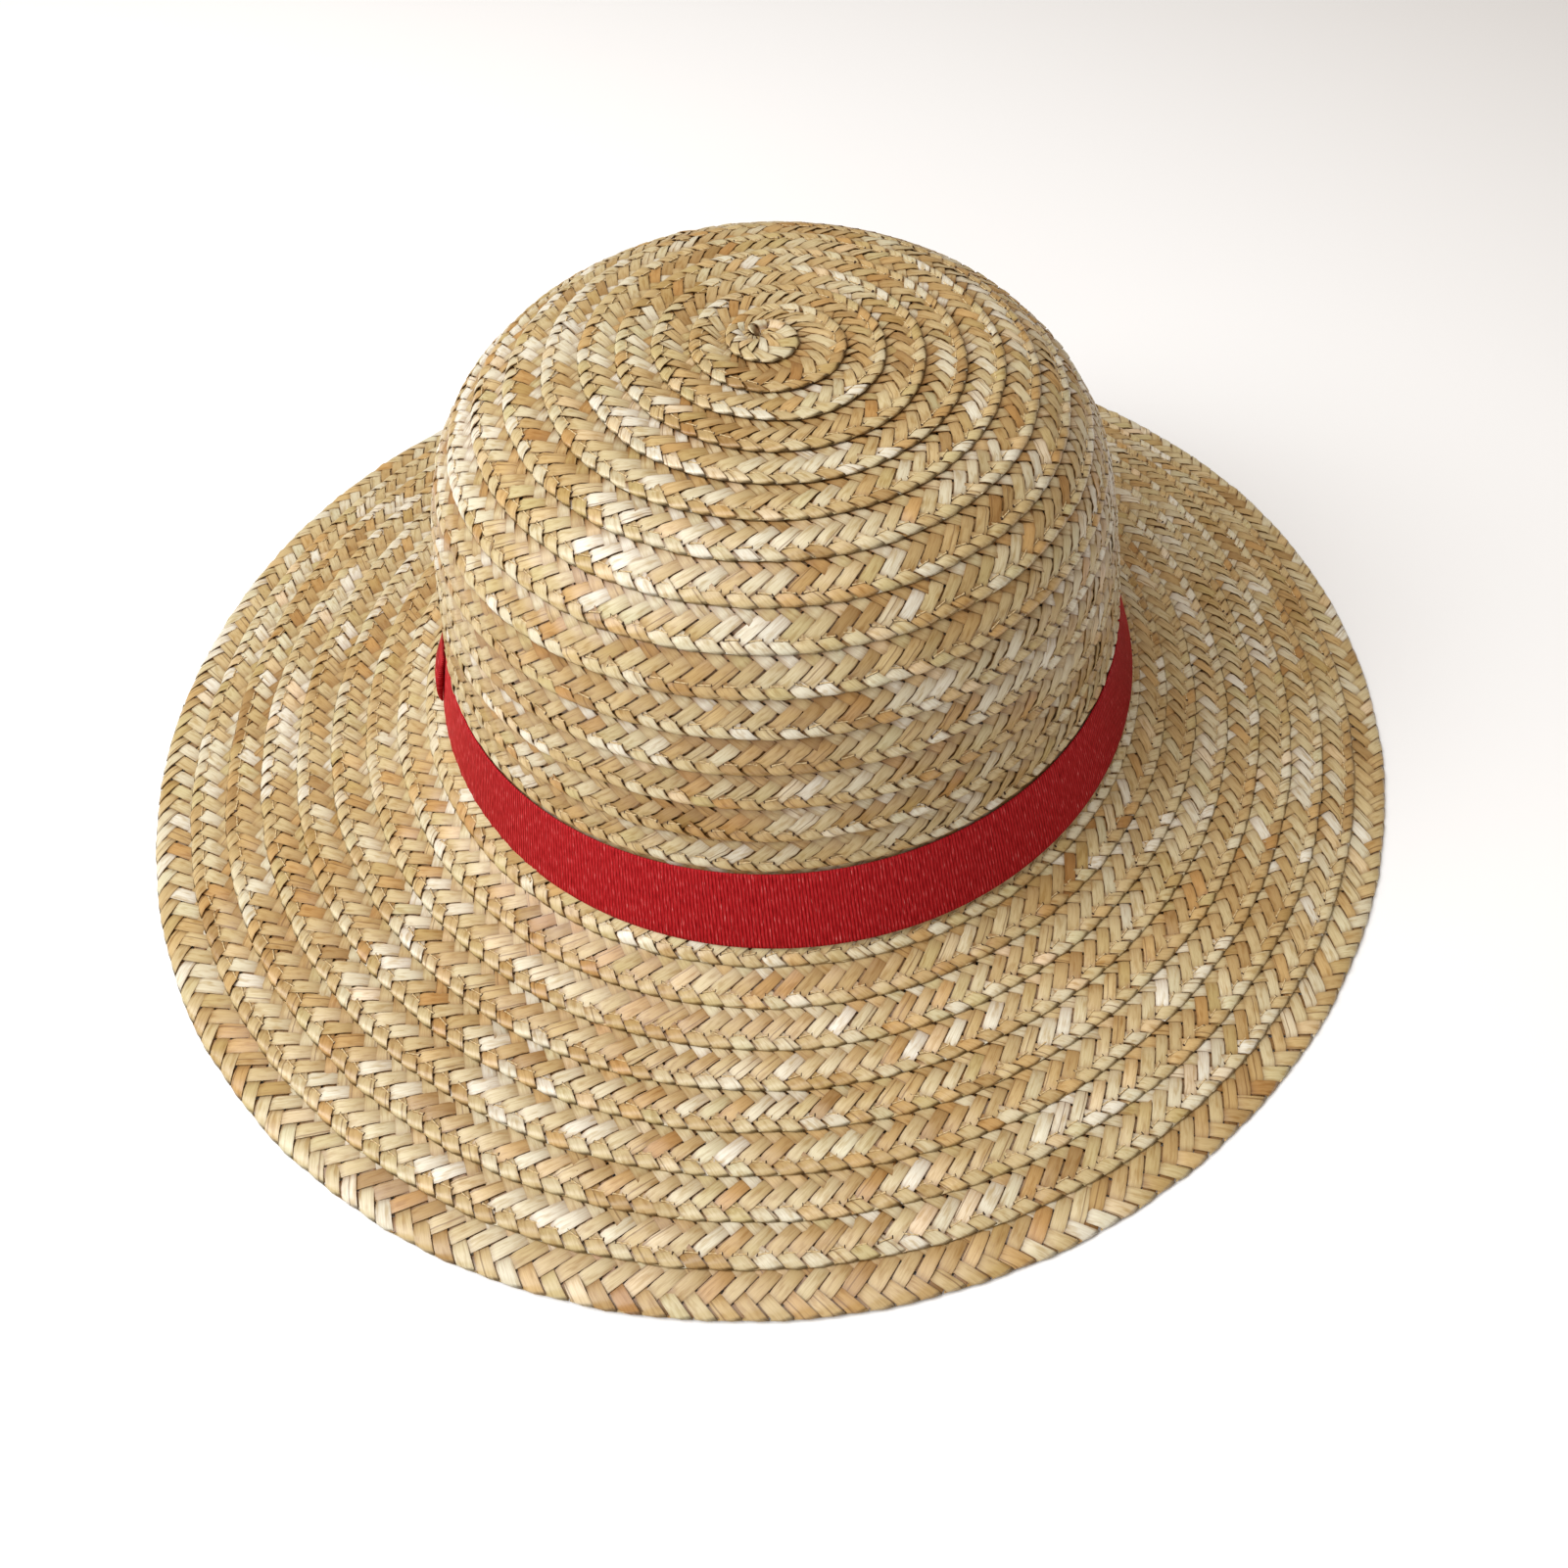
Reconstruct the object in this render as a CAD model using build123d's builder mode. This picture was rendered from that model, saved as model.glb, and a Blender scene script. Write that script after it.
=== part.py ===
"""Round-crowned sewn straw hat with a grosgrain band, built row by row.

One long flat plait is coiled from the crown tip outwards and sewn to itself,
so that the outer edge of each turn lies on top of the next turn. Each turn is
a part of its own here, then come the threads, the ribbon and the sweatband.

Millimetres. +Z is up, -Y is the front, and the origin is on the table under
the middle of the hat, which rests on its brim edge.
"""

import os
from math import cos, radians, sin

from build123d import *

# ---- the form: six tangent arcs from the crown tip to the brim edge --------
# (length along the arc, how far the slope turns downwards over it in degrees)
TIP_SLOPE = 1.0
FORM_ARCS = (
    (52.0, 5.0),    # nearly flat top
    (50.0, 71.0),   # shoulder
    (49.0, 9.0),    # crown side, flaring slightly
    (23.0, -61.0),  # bend from the side into the brim
    (21.0, -23.0),  # and on until the brim is flat
    (45.0, 11.0),   # brim, drooping towards its edge
)

# ---- the oval: how much longer than round, as a half difference of axes ----
OVAL = 3.2          # front to back +OVAL, side to side -OVAL
OVAL_FROM = 57.0    # the oval is complete from this radius outwards

# ---- the plait -------------------------------------------------------------
THICK = 1.1         # seven-end flat plait of split straw
LAP = 6.4           # how much of each turn lies under the turn before it
CLEAR = 0.28        # air between two lapped turns
CROWN_PITCH = 9.5   # visible width of a crown turn
BRIM_PITCH = 8.86   # visible width from the band outwards
TOP_ROWS = 15       # crown turns seen above the band
BAND_ROWS = 3       # crown turns hidden under the band
BRIM_ROWS = 8

# ---- threads, ribbon and sweatband -----------------------------------------
THREAD = 0.34       # diameter of the sewing thread
STITCH_IN = 4.0     # seam line, in from a turn's outer edge
RIBBON_TOP = 144.0  # where the ribbon's edges lie, measured along the form
RIBBON_FOOT = 165.0
RIBBON_THICK = 0.6
RIBBON_OFF = 0.4    # ribbon clear of the straw
KEEPER_TURN = 190.0  # the keeper loop's place round the crown, from +X
KEEPER_WIDE = 10.0
KEEPER_OFF = 0.45   # keeper clear of the ribbon at its two ends
KEEPER_LOOP = 3.6   # how far its arch stands off the ribbon
KEEPER_SAG = 2.0    # and how far below the middle it stands furthest
SWEAT_TOP = 136.0   # the sweatband's edges, measured along the form
SWEAT_FOOT = 160.0
SWEAT_THICK = 0.7
SWEAT_OFF = 3.9     # sweatband's outer face, inside the form

REST_CUT = 0.25     # the brim edge is pressed flat by this much
os.makedirs("parts", exist_ok=True)


def form_drop(along):
    """(radius, drop below the tip, slope in radians) of the form at a length."""
    radius, drop, slope = 0.0, 0.0, radians(TIP_SLOPE)
    for length, turn in FORM_ARCS:
        step = min(along, length)
        bend = radians(turn) / length
        end = slope + bend * step
        radius += (sin(end) - sin(slope)) / bend
        drop += (cos(slope) - cos(end)) / bend
        slope, along = end, along - step
        if along <= 0:
            break
    return radius, drop, slope


FORM_LENGTH = sum(length for length, _ in FORM_ARCS)
EDGE_RADIUS, EDGE_DROP, EDGE_SLOPE = form_drop(FORM_LENGTH)
FOOT = THICK * cos(EDGE_SLOPE) - REST_CUT   # form height at the brim edge


def on_form(along, out=0.0):
    """A point of the section plane: on the form, or out of it by `out`."""
    radius, drop, slope = form_drop(along)
    return (radius + out * sin(slope), EDGE_DROP + FOOT - drop + out * cos(slope))


def oval_factors(radius):
    """Scale factors that ease a round ring of this radius to the oval."""
    share = OVAL * min(1.0, radius / OVAL_FROM) / radius
    return (1 - share, 1 + share, 1)


def row_ends(row):
    """Where a turn's visible part starts and ends along the form."""
    start = CROWN_PITCH * min(row - 1, TOP_ROWS) + BRIM_PITCH * max(0, row - 1 - TOP_ROWS)
    return start, start + (CROWN_PITCH if row <= TOP_ROWS else BRIM_PITCH)


def plait_section(row):
    """Closed outline of one turn: a thin strip that tilts under the last turn."""
    start, end = row_ends(row)
    if row == 1:
        stations = [end * i / 4 for i in range(5)]
        sink = [0.0] * 5
    else:
        inner = start - LAP
        width = end - inner
        lift = (THICK + CLEAR) * width / (end - start)
        stations = [inner + width * i / 6 for i in range(7)]
        sink = [lift * (end - s) / width for s in stations]
    top = [on_form(s, -d) for s, d in zip(stations, sink)]
    under = [on_form(s, -d - THICK) for s, d in zip(stations, sink)]
    if row == 1:
        top[0], under[0] = (0, top[0][1]), (0, under[0][1])
    return top + under[::-1]


# ---- the turns of plait ----------------------------------------------------
ROWS = TOP_ROWS + BAND_ROWS + BRIM_ROWS
for row in range(1, ROWS + 1):
    start, end = row_ends(row)
    middle = form_drop((start + end) / 2)[0]
    with BuildPart() as turn:
        with BuildSketch(Plane.XZ):
            with BuildLine():
                Polyline(*plait_section(row), close=True)
            make_face()
        revolve(axis=Axis.Z)
        scale(by=oval_factors(middle))
        if row == ROWS:
            split(bisect_by=Plane.XY, keep=Keep.TOP)
    crown = row <= TOP_ROWS + BAND_ROWS
    name = f"crown_row_{row:02d}" if crown else f"brim_row_{row - TOP_ROWS - BAND_ROWS:02d}"
    if row == 1:
        name = "crown_start_coil"
    turn.part.label = name
    export_step(turn.part, f"parts/{name}.step")


# ---- the thread that sews each turn to the next ----------------------------
def thread_ring(along, out, radius):
    """One oval ring of thread, square in section, lying just off the straw."""
    fx, fy, _ = oval_factors(radius)
    across, height = on_form(along, out)
    with BuildPart(mode=Mode.PRIVATE) as ring:
        with BuildSketch(Plane.XY.offset(height - THREAD / 2)):
            Ellipse(across * fx + THREAD / 2, across * fy + THREAD / 2)
            Ellipse(across * fx - THREAD / 2, across * fy - THREAD / 2, mode=Mode.SUBTRACT)
        extrude(amount=THREAD)
    return ring.part


SEWN_ROWS = [r for r in range(2, ROWS) if not TOP_ROWS < r <= TOP_ROWS + BAND_ROWS]
with BuildPart() as braid_thread:
    for row in SEWN_ROWS:
        start, end = row_ends(row)
        width = end - start + LAP
        lift = (THICK + CLEAR) * width / (end - start)
        out = 0.8 * THREAD - lift * STITCH_IN / width
        add(thread_ring(end - STITCH_IN, out, form_drop((start + end) / 2)[0]))
braid_thread.part.label = "braid_thread"
export_step(braid_thread.part, "parts/braid_thread.step")


# ---- ribbon: a taut cone from edge to edge, and its keeper loop ------------
ribbon_top = on_form(RIBBON_TOP, RIBBON_OFF)
ribbon_foot = on_form(RIBBON_FOOT, RIBBON_OFF)
ribbon_mid = form_drop((RIBBON_TOP + RIBBON_FOOT) / 2)[0]

with BuildPart() as ribbon_band:
    with BuildSketch(Plane.XZ):
        with BuildLine():
            Polyline(
                ribbon_top,
                (ribbon_top[0] + RIBBON_THICK, ribbon_top[1]),
                (ribbon_foot[0] + RIBBON_THICK, ribbon_foot[1]),
                ribbon_foot,
                close=True,
            )
        make_face()
    revolve(axis=Axis.Z)
    scale(by=oval_factors(ribbon_mid))
ribbon_band.part.label = "ribbon_band"
export_step(ribbon_band.part, "parts/ribbon_band.step")

# The keeper covers the join of the ribbon's two ends: a short piece of the same
# ribbon, arched over the band from its top edge to its foot and sewn down there.
fx, fy, _ = oval_factors(ribbon_mid)
where = radians(KEEPER_TURN)
band_face = Vector(ribbon_top[0] + ribbon_foot[0] + 2 * RIBBON_THICK, 0, ribbon_top[1] + ribbon_foot[1]) / 2
spot = Vector(band_face.X * fx * cos(where), band_face.X * fy * sin(where), band_face.Z)
outwards = Vector(cos(where) / fx, sin(where) / fy, 0).normalized()
fall = (Vector(ribbon_foot[0], 0, ribbon_foot[1]) - Vector(ribbon_top[0], 0, ribbon_top[1]))
half_band = fall.length / 2
down = (outwards * fall.X + Vector(0, 0, fall.Z)).normalized()
keeper_plane = Plane(origin=spot, x_dir=down, z_dir=down.cross(outwards))

with BuildPart() as ribbon_keeper:
    with BuildSketch(keeper_plane):
        with BuildLine():
            outer = ThreePointArc((-half_band, KEEPER_OFF + RIBBON_THICK), (KEEPER_SAG, KEEPER_LOOP),
                                  (half_band, KEEPER_OFF + RIBBON_THICK))
            inner = ThreePointArc((-half_band, KEEPER_OFF), (KEEPER_SAG, KEEPER_LOOP - RIBBON_THICK),
                                  (half_band, KEEPER_OFF))
            Line(outer @ 0, inner @ 0)
            Line(outer @ 1, inner @ 1)
        make_face()
    extrude(amount=KEEPER_WIDE / 2, both=True)
ribbon_keeper.part.label = "ribbon_keeper"
export_step(ribbon_keeper.part, "parts/ribbon_keeper.step")


# ---- sweatband inside the crown, and the thread along its foot -------------
sweat_stations = [SWEAT_TOP + (SWEAT_FOOT - SWEAT_TOP) * i / 4 for i in range(5)]
sweat_mid = form_drop((SWEAT_TOP + SWEAT_FOOT) / 2)[0]

with BuildPart() as sweatband:
    with BuildSketch(Plane.XZ):
        with BuildLine():
            Polyline(
                *[on_form(s, -SWEAT_OFF) for s in sweat_stations],
                *[on_form(s, -SWEAT_OFF - SWEAT_THICK) for s in sweat_stations[::-1]],
                close=True,
            )
        make_face()
    revolve(axis=Axis.Z)
    scale(by=oval_factors(sweat_mid))
sweatband.part.label = "sweatband"
export_step(sweatband.part, "parts/sweatband.step")

with BuildPart() as sweatband_thread:
    add(thread_ring(SWEAT_FOOT - 2.0, -SWEAT_OFF - SWEAT_THICK - 0.8 * THREAD, sweat_mid))
sweatband_thread.part.label = "sweatband_thread"
export_step(sweatband_thread.part, "parts/sweatband_thread.step")
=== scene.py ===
"""Round-crowned sewn straw hat with a grosgrain band: the visual model.

The hat is one long flat plait of split straw. It is coiled from the crown tip out
to the brim edge and sewn to itself, each turn's outer edge lying on the next turn.
Every turn is a piece of its own here, woven strand by strand, and then come the
stitches, the ribbon with its keeper loop, and the sweatband with its thread.

Sizes in the classes are millimetres; the meshes are made in metres, in the frame
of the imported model.
"""

import logging
import math
from dataclasses import dataclass, field
from enum import Enum

import bpy
import numpy as np
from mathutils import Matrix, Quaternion, Vector


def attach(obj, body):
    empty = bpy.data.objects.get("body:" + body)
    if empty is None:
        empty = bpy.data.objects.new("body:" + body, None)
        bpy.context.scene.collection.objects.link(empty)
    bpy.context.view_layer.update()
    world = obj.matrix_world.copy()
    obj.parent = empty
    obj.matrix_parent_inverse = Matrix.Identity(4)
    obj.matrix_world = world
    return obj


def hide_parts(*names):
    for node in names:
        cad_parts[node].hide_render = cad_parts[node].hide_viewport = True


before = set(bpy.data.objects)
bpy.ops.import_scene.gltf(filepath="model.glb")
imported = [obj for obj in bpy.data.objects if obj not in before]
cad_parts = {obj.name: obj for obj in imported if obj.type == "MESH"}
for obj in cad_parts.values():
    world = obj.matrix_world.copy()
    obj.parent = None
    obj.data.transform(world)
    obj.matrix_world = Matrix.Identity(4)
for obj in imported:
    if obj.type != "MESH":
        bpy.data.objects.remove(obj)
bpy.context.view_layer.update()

log = logging.getLogger("straw_hat")
MM = 0.001
BODY = "root"
PER_RIB = 4  # points on each rib of the ribbon
SEAM_ANGLES = np.arange(4) * np.pi / 2 + np.pi / 4  # corners round a thread
TINT = {"data_type": "RGBA", "blend_type": "MULTIPLY"}
COVER = {"data_type": "RGBA", "blend_type": "MIX"}


# ---- small shared tools -----------------------------------------------------


def srgb(code: str) -> tuple[float, float, float, float]:
    """Turn an sRGB hex colour into Blender's linear colour.

    Args:
        code: six hex digits with a leading #.

    Returns:
        Linear red, green, blue and an alpha of one.
    """
    levels = np.array([int(code[i : i + 2], 16) for i in (1, 3, 5)]) / 255
    linear = np.where(levels <= 0.04045, levels / 12.92, ((levels + 0.055) / 1.055) ** 2.4)
    return (*(float(v) for v in linear), 1.0)


def add_node(
    tree: bpy.types.NodeTree,
    kind: str,
    inputs: dict | None = None,
    output: int | str = 0,
    stops: list[tuple[float, str]] | None = None,
    **settings: object,
) -> bpy.types.NodeSocket | None:
    """Add one shader node with its settings, input values and links.

    Args:
        tree: the node tree that gets the node.
        kind: the node's type name.
        inputs: input name or number to a value, or to the socket that feeds it.
        output: name or number of the output that is read.
        stops: for a colour ramp, its places with their hex colours.
        **settings: the node's own properties.

    Returns:
        That output's socket, or None from a node without outputs.
    """
    node = tree.nodes.new(kind)
    for name, value in settings.items():
        setattr(node, name, value)
    if stops:
        ramp = node.color_ramp.elements
        while len(ramp) < len(stops):
            ramp.new(1.0)
        for element, (place, code) in zip(ramp, stops):
            element.position, element.color = place, srgb(code)
    for name, value in (inputs or {}).items():
        if isinstance(value, bpy.types.NodeSocket):
            tree.links.new(value, node.inputs[name])
        else:
            node.inputs[name].default_value = value
    return node.outputs[output] if node.outputs else None


def new_material(name: str) -> tuple[bpy.types.Material, bpy.types.NodeTree]:
    """Make an empty node material.

    Args:
        name: what the real material is and how it was made.

    Returns:
        The material and its cleared node tree.
    """
    material = bpy.data.materials.new(name)
    material.use_nodes = True
    material.node_tree.nodes.clear()
    return material, material.node_tree


def wander(along: np.ndarray, step: float, seed: int) -> np.ndarray:
    """Smooth random waver along a length.

    A random height from -1 to 1 stands at every step, and between two of them
    the height eases from one to the other along half a cosine wave.

    Args:
        along: places along the length, in mm.
        step: distance between two random heights, in mm.
        seed: the seed of the random heights.

    Returns:
        A height for each place.
    """
    count, first = 4096, 512
    knots = np.random.default_rng(seed).uniform(-1, 1, count)
    place = np.asarray(along, float) / step + first
    cell = np.floor(place).astype(int)
    mix = (1 - np.cos(np.pi * (place - cell))) / 2
    return knots[cell % count] * (1 - mix) + knots[(cell + 1) % count] * mix


def ease(value: np.ndarray, low: float, high: float) -> np.ndarray:
    """Rise smoothly from 0 at low to 1 at high, flat at both ends."""
    share = np.clip((value - low) / (high - low), 0, 1)
    return share * share * (3 - 2 * share)


@dataclass
class MeshParts:
    """What one mesh is made of, before it becomes a Blender object.

    Numbers may be given for a whole grid of points or for what they differ
    over, and are spread over the grid.

    Attributes:
        points: place of each vertex in mm, in the last axis.
        faces: arrays of faces, one array for each number of corners.
        uv: the two places of each vertex on the flat material, in mm.
        values: further numbers per vertex, by name, for the material to read.
        creases: a number per vertex; an edge whose ends share one, other than
            -1, is a sharp edge.
    """

    points: np.ndarray
    faces: list[np.ndarray]
    uv: tuple[np.ndarray, np.ndarray] | np.ndarray
    values: dict[str, np.ndarray] = field(default_factory=dict)
    creases: np.ndarray | None = None

    def __post_init__(self) -> None:
        """Spread all numbers over the grid and list them vertex by vertex."""
        grid = self.points.shape[:-1]
        self.uv = np.stack([np.broadcast_to(p, grid).ravel() for p in self.uv], -1)
        self.values = {k: np.broadcast_to(v, grid).ravel() for k, v in self.values.items()}
        if self.creases is not None:
            self.creases = np.broadcast_to(self.creases, grid).ravel()
        self.points = self.points.reshape(-1, 3)

    def build(self, name: str, material: bpy.types.Material) -> bpy.types.Object:
        """Put the arrays into a mesh object at the origin.

        Args:
            name: the piece's name.
            material: what it is made of.

        Returns:
            The object, linked to the scene.
        """
        mesh = bpy.data.meshes.new(name)
        corners = np.concatenate([f.ravel() for f in self.faces]).astype(np.int32)
        sizes = np.concatenate([np.full(len(f), f.shape[1]) for f in self.faces])
        starts = np.concatenate([[0], np.cumsum(sizes)[:-1]]).astype(np.int32)
        mesh.vertices.add(len(self.points))
        mesh.vertices.foreach_set("co", (self.points * MM).astype(np.float32).ravel())
        mesh.loops.add(len(corners))
        mesh.loops.foreach_set("vertex_index", corners)
        mesh.polygons.add(len(sizes))
        mesh.polygons.foreach_set("loop_start", starts)
        mesh.polygons.foreach_set("use_smooth", np.ones(len(sizes), bool))
        mesh.update(calc_edges=True)
        flat = mesh.uv_layers.new(name="flat_mm")
        flat.data.foreach_set("uv", self.uv[corners].astype(np.float32).ravel())
        for label, numbers in self.values.items():
            layer = mesh.attributes.new(label, "FLOAT", "POINT")
            layer.data.foreach_set("value", numbers.astype(np.float32))
        if self.creases is not None:
            ends = np.empty(len(mesh.edges) * 2, np.int32)
            mesh.edges.foreach_get("vertices", ends)
            marks = self.creases[ends.reshape(-1, 2)]
            sharp = (marks[:, 0] == marks[:, 1]) & (marks[:, 0] >= 0)
            layer = mesh.attributes.new("sharp_edge", "BOOLEAN", "EDGE")
            layer.data.foreach_set("value", sharp)
        mesh.validate()
        mesh.materials.append(material)
        piece = bpy.data.objects.new(name, mesh)
        bpy.context.scene.collection.objects.link(piece)
        return piece


def tube_faces(count: int, stations: int, ring: int) -> list[np.ndarray]:
    """Faces of many closed tubes whose vertices run tube, station, ring.

    Args:
        count: how many tubes.
        stations: cross-sections along each tube.
        ring: vertices round each cross-section.

    Returns:
        The four-cornered side faces, and the two end caps of each tube.
    """
    a, k = np.meshgrid(np.arange(stations - 1), np.arange(ring), indexing="ij")
    k1 = (k + 1) % ring
    side = np.stack([a * ring + k, (a + 1) * ring + k, (a + 1) * ring + k1, a * ring + k1], -1)
    side = side.reshape(-1, 4)
    caps = np.stack([np.arange(ring), (stations - 1) * ring + np.arange(ring)[::-1]])
    first = (np.arange(count) * stations * ring)[:, None, None]
    return [(side + first).reshape(-1, 4), (caps + first).reshape(-1, ring)]


def hoop_faces(stations: int, ring: int) -> list[np.ndarray]:
    """Faces of one profile of `ring` points carried round a closed hoop."""
    a, k = np.meshgrid(np.arange(stations), np.arange(ring), indexing="ij")
    a1, k1 = (a + 1) % stations, (k + 1) % ring
    quads = np.stack([a * ring + k, a1 * ring + k, a1 * ring + k1, a * ring + k1], -1)
    return [quads.reshape(-1, 4)]


# ---- the form that the plait is sewn to -------------------------------------


@dataclass(frozen=True)
class HatForm:
    """Outer surface of the hat, as tangent arcs from the crown tip to the edge.

    Attributes:
        tip_slope: slope at the tip, in degrees below level.
        arcs: length of each arc in mm and how far the slope turns over it.
        oval: how much longer than round the hat is, as half the difference.
        oval_from: radius at which the oval is complete.
        edge_height: height of the surface over the table at the brim edge.
        left_in: how far the foot of the crown is pressed in on the left.
        left_narrow: power of the cosine round the hat that fades that out.
        left_from: lengths from the tip between which the pressing sets in.
        left_to: lengths between which it ends.
    """

    tip_slope: float = 1.0
    arcs: tuple[tuple[float, float], ...] = (
        (52.0, 5.0), (50.0, 71.0), (49.0, 9.0), (23.0, -61.0), (21.0, -23.0), (45.0, 11.0),
    )
    oval: float = 3.2
    oval_from: float = 57.0
    edge_height: float = 0.82
    left_in: float = 1.7
    left_narrow: int = 5
    left_from: tuple[float, float] = (80.0, 135.0)
    left_to: tuple[float, float] = (150.0, 175.0)

    def section(self, along: np.ndarray) -> tuple[np.ndarray, np.ndarray, np.ndarray]:
        """Where the form is at a length from the tip.

        Along an arc of steady bend the radius grows by the change of the slope's
        sine over the bend, and the drop by the change of its cosine. Past the
        edge the form runs on straight.

        Args:
            along: lengths from the tip.

        Returns:
            Radius, drop below the tip and slope in radians, for each length.
        """
        left = np.asarray(along, float).copy()
        slope = np.full_like(left, math.radians(self.tip_slope))
        radius, drop = np.zeros_like(left), np.zeros_like(left)
        for length, turn in self.arcs:
            bend = math.radians(turn) / length
            step = np.clip(left, 0, length)
            end = slope + bend * step
            radius += (np.sin(end) - np.sin(slope)) / bend
            drop += (np.cos(slope) - np.cos(end)) / bend
            slope, left = end, left - step
        return radius + left * np.cos(slope), drop + left * np.sin(slope), slope

    def place(self, along: np.ndarray, azimuth: np.ndarray, out: np.ndarray) -> np.ndarray:
        """Points on the form, or out of it along its normal.

        The round section point is squeezed across and stretched lengthwise by
        the same length, which grows with the radius until the oval is complete.
        On the left the crown's foot is then moved in.

        Args:
            along: length from the tip.
            azimuth: angle round the hat from +X, in radians.
            out: distance out of the form.

        Returns:
            Points in mm, in the last axis.
        """
        edge = self.section(np.array([sum(length for length, _ in self.arcs)]))[1][0]
        radius, drop, slope = self.section(along)
        half = self.oval * np.minimum(1, radius / self.oval_from)
        across = radius + out * np.sin(slope)
        height = edge + self.edge_height - drop + out * np.cos(slope)
        x, y = (across - half) * np.cos(azimuth), (across + half) * np.sin(azimuth)
        foot = ease(along, *self.left_from) * (1 - ease(along, *self.left_to))
        x = x + self.left_in * foot * np.clip(-np.cos(azimuth), 0, 1) ** self.left_narrow
        return np.stack(np.broadcast_arrays(x, y, height), -1)


# ---- the coil: where the plait's outer edge runs ----------------------------


@dataclass
class Coil:
    """Line of the plait's outer edge, from the tip round to the brim edge.

    The turns lie side by side like rings, and the plait steps out by one turn's
    width at the back of the hat. The first turns are too small for that and
    widen evenly all the way round.

    Attributes:
        form: the surface the line lies on.
        crown_pitch: visible width of a turn on the crown.
        brim_pitch: visible width of a turn from the band outwards.
        pitch_change: how many turns have the crown's width.
        turns: number of turns.
        crown_turns: how many of them make the crown.
        start: azimuth of the step from turn to turn, in degrees.
        head_start: how much of a turn is curled up before the first full one.
        steps: points worked out on each turn.
        step_share: share of a turn over which the plait steps out to the next.
        step_turns: turns between which that share comes down from a whole turn.
        tail_in: turn widths that the plait's end would turn in over a whole
            step; it stops half way.
        tail_sunk: depth that it would be tucked over that step.
        least: least length from the tip at which the line's pace is worked out.
    """

    form: HatForm
    crown_pitch: float = 9.5
    brim_pitch: float = 8.86
    pitch_change: int = 15
    turns: int = 26
    crown_turns: int = 18
    start: float = 90.0
    head_start: float = 0.38
    steps: int = 720
    step_share: float = 0.22
    step_turns: tuple[int, int] = (2, 8)
    tail_in: float = 1.5
    tail_sunk: float = 2.6
    least: float = 0.5

    def __post_init__(self) -> None:
        """Walk along the line once and keep what it passes."""
        count = int((self.turns + self.head_start) * self.steps) + 1
        self.turned = np.linspace(-self.head_start, self.turns, count)
        turn = np.clip(np.floor(self.turned).astype(int) + 1, 1, self.turns)
        part = self.turned - (turn - 1)
        ease_over = np.interp(turn, self.step_turns, [1.0, self.step_share])
        entering = np.minimum(0, part / ease_over - 0.5)
        leaving = np.maximum(0, (part - 1) / ease_over + 0.5)
        end = (turn == self.turns) & (leaving > 0)
        self.rim = (
            self.edge_of(turn)
            + self.pitch_of(turn) * entering
            + np.where(end, -self.tail_in, 1.0) * self.pitch_of(turn + 1) * leaving
        )
        self.sunk = np.where(end, self.tail_sunk * leaving, 0.0)
        self.azimuth = math.radians(self.start) - 2 * np.pi * self.turned
        radius = self.form.section(np.maximum(self.rim, self.least))[0]
        half = self.form.oval * np.minimum(1, radius / self.form.oval_from)
        pace = np.hypot(
            (radius - half) * np.sin(self.azimuth), (radius + half) * np.cos(self.azimuth)
        )
        step = (pace[1:] + pace[:-1]) / 2 * np.diff(2 * np.pi * self.turned)
        self.length = np.concatenate([[0], np.cumsum(step)])

    def edge_of(self, turn: np.ndarray) -> np.ndarray:
        """Length along the form at which a turn's outer edge lies."""
        crown = np.minimum(turn, self.pitch_change)
        return self.crown_pitch * crown + self.brim_pitch * (turn - crown)

    def pitch_of(self, turn: np.ndarray) -> np.ndarray:
        """Visible width of a turn."""
        return np.where(turn <= self.pitch_change, self.crown_pitch, self.brim_pitch)

    def at(self, length: np.ndarray, numbers: np.ndarray) -> np.ndarray:
        """Read one of the line's arrays at lengths along the plait."""
        return np.interp(length, self.length, numbers)

    def span(self, turn: int) -> tuple[float, float]:
        """Lengths along the plait at which a turn starts and ends."""
        first = -self.head_start if turn == 1 else turn - 1
        ends = np.interp([first, turn], self.turned, self.length)
        return float(ends[0]), float(ends[1])


# ---- the plait --------------------------------------------------------------


class Lean(Enum):
    """Which way a leg of a strand runs, as seen with the outer edge nearest."""

    INWARD = 1
    OUTWARD = -1


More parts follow.
